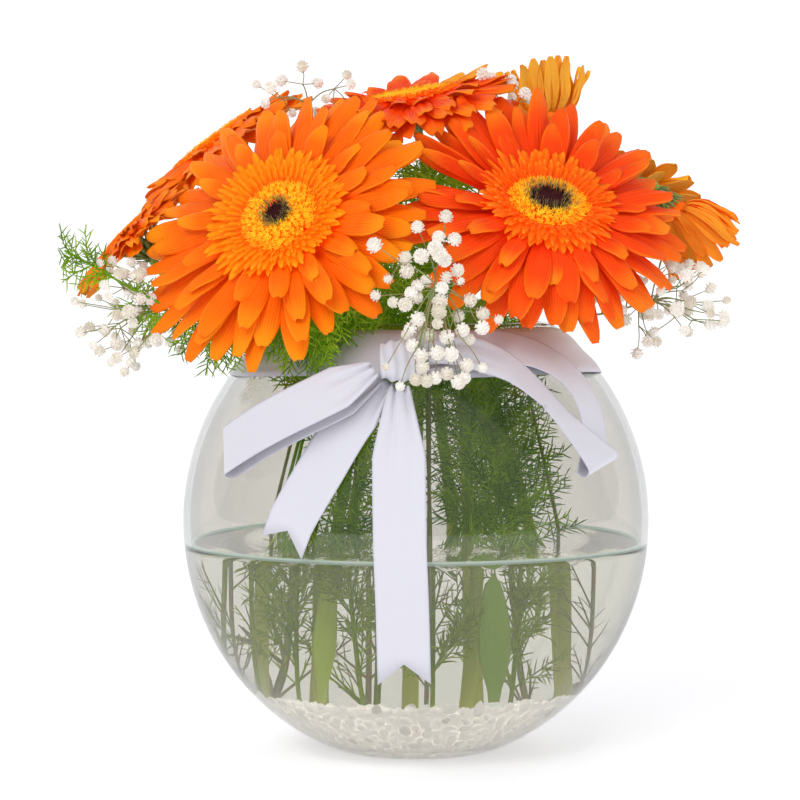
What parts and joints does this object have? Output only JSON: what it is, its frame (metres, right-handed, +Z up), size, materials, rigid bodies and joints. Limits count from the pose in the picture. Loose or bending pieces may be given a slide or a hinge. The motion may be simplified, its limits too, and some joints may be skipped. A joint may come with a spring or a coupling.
{
  "type": "vase of gerberas",
  "caption": "Orange gerbera daisies with white baby's breath and asparagus fern in a round clear glass bowl vase of water and white gravel, with a white satin bow round its neck.",
  "frame": {"origin": "centre of the bowl's flat base, on the surface that it stands on", "axes": "+Z up out of the bowl; the bow and the two largest flowers face -Y; +X is to the right as the bow is faced"},
  "size_m": [0.2886, 0.2035, 0.3027],
  "materials": {
    "babys_breath_back": "small white double flowers on fine twigs",
    "babys_breath_front": "small white double flowers on fine twigs",
    "babys_breath_left": "small white double flowers on fine twigs",
    "babys_breath_right": "small white double flowers on fine twigs",
    "babys_breath_top_left": "small white double flowers on fine twigs",
    "babys_breath_top_right": "small white double flowers on fine twigs",
    "fern_back": "fresh green asparagus fern",
    "fern_centre": "fresh green asparagus fern",
    "fern_far_left": "fresh green asparagus fern",
    "fern_front_left": "fresh green asparagus fern",
    "fern_inside_left": "fresh green asparagus fern",
    "fern_inside_right": "fresh green asparagus fern",
    "fern_left": "fresh green asparagus fern",
    "gerbera_a_disc": "ring of yellow disc florets",
    "gerbera_a_eye": "dark unopened florets",
    "gerbera_a_rays": "satiny orange petals",
    "gerbera_a_stem": "softly hairy green stem and calyx",
    "gerbera_b_disc": "ring of yellow disc florets",
    "gerbera_b_eye": "dark unopened florets",
    "gerbera_b_rays": "satiny red-orange petals",
    "gerbera_b_stem": "softly hairy green stem and calyx",
    "gerbera_c_disc": "ring of yellow disc florets",
    "gerbera_c_eye": "dark unopened florets",
    "gerbera_c_rays": "satiny red-orange petals",
    "gerbera_c_stem": "softly hairy green stem and calyx",
    "gerbera_d_disc": "ring of yellow disc florets",
    "gerbera_d_eye": "dark unopened florets",
    "gerbera_d_rays": "satiny orange petals",
    "gerbera_d_stem": "softly hairy green stem and calyx",
    "gerbera_f_disc": "ring of yellow disc florets",
    "gerbera_f_eye": "dark unopened florets",
    "gerbera_f_rays": "satiny orange petals",
    "gerbera_f_stem": "softly hairy green stem and calyx",
    "gerbera_g_disc": "ring of yellow disc florets",
    "gerbera_g_eye": "dark unopened florets",
    "gerbera_g_rays": "satiny orange petals",
    "gerbera_g_stem": "softly hairy green stem and calyx",
    "gerbera_h_disc": "ring of yellow disc florets",
    "gerbera_h_eye": "dark unopened florets",
    "gerbera_h_rays": "satiny red-orange petals",
    "gerbera_h_stem": "softly hairy green stem and calyx",
    "gerbera_i_disc": "ring of yellow disc florets",
    "gerbera_i_eye": "dark unopened florets",
    "gerbera_i_rays": "satiny red-orange petals",
    "gerbera_i_stem": "softly hairy green stem and calyx",
    "glass_bowl": "clear blown glass with a ground rim",
    "gravel": "coarse white marble chips",
    "leaf_left": "fresh green leaf",
    "leaf_right": "fresh green leaf",
    "ribbon_band": "white satin",
    "ribbon_knot": "white satin",
    "ribbon_loop_left": "white satin",
    "ribbon_loop_right": "white satin",
    "ribbon_tail_left": "white satin",
    "ribbon_tail_middle": "white satin",
    "water": null
  },
  "bodies": {
    "root": {"babys_breath_back": "babys_breath_back", "babys_breath_front": "babys_breath_front", "babys_breath_left": "babys_breath_left", "babys_breath_right": "babys_breath_right", "babys_breath_top_left": "babys_breath_top_left", "babys_breath_top_right": "babys_breath_top_right", "fern_back": "fern_back", "fern_centre": "fern_centre", "fern_far_left": "fern_far_left", "fern_front_left": "fern_front_left", "fern_inside_left": "fern_inside_left", "fern_inside_right": "fern_inside_right", "fern_left": "fern_left", "gerbera_a_disc": "gerbera_a_disc", "gerbera_a_eye": "gerbera_a_eye", "gerbera_a_rays": "gerbera_a_rays", "gerbera_a_stem": "gerbera_a_stem", "gerbera_b_disc": "gerbera_b_disc", "gerbera_b_eye": "gerbera_b_eye", "gerbera_b_rays": "gerbera_b_rays", "gerbera_b_stem": "gerbera_b_stem", "gerbera_c_disc": "gerbera_c_disc", "gerbera_c_eye": "gerbera_c_eye", "gerbera_c_rays": "gerbera_c_rays", "gerbera_c_stem": "gerbera_c_stem", "gerbera_d_disc": "gerbera_d_disc", "gerbera_d_eye": "gerbera_d_eye", "gerbera_d_rays": "gerbera_d_rays", "gerbera_d_stem": "gerbera_d_stem", "gerbera_f_disc": "gerbera_f_disc", "gerbera_f_eye": "gerbera_f_eye", "gerbera_f_rays": "gerbera_f_rays", "gerbera_f_stem": "gerbera_f_stem", "gerbera_g_disc": "gerbera_g_disc", "gerbera_g_eye": "gerbera_g_eye", "gerbera_g_rays": "gerbera_g_rays", "gerbera_g_stem": "gerbera_g_stem", "gerbera_h_disc": "gerbera_h_disc", "gerbera_h_eye": "gerbera_h_eye", "gerbera_h_rays": "gerbera_h_rays", "gerbera_h_stem": "gerbera_h_stem", "gerbera_i_disc": "gerbera_i_disc", "gerbera_i_eye": "gerbera_i_eye", "gerbera_i_rays": "gerbera_i_rays", "gerbera_i_stem": "gerbera_i_stem", "glass_bowl": "glass_bowl", "gravel": "gravel", "leaf_left": "leaf_left", "leaf_right": "leaf_right", "ribbon_band": "ribbon_band", "ribbon_knot": "ribbon_knot", "ribbon_loop_left": "ribbon_loop_left", "ribbon_loop_right": "ribbon_loop_right", "ribbon_tail_left": "ribbon_tail_left", "ribbon_tail_middle": "ribbon_tail_middle", "water": "water"}
  },
  "joints": []
}
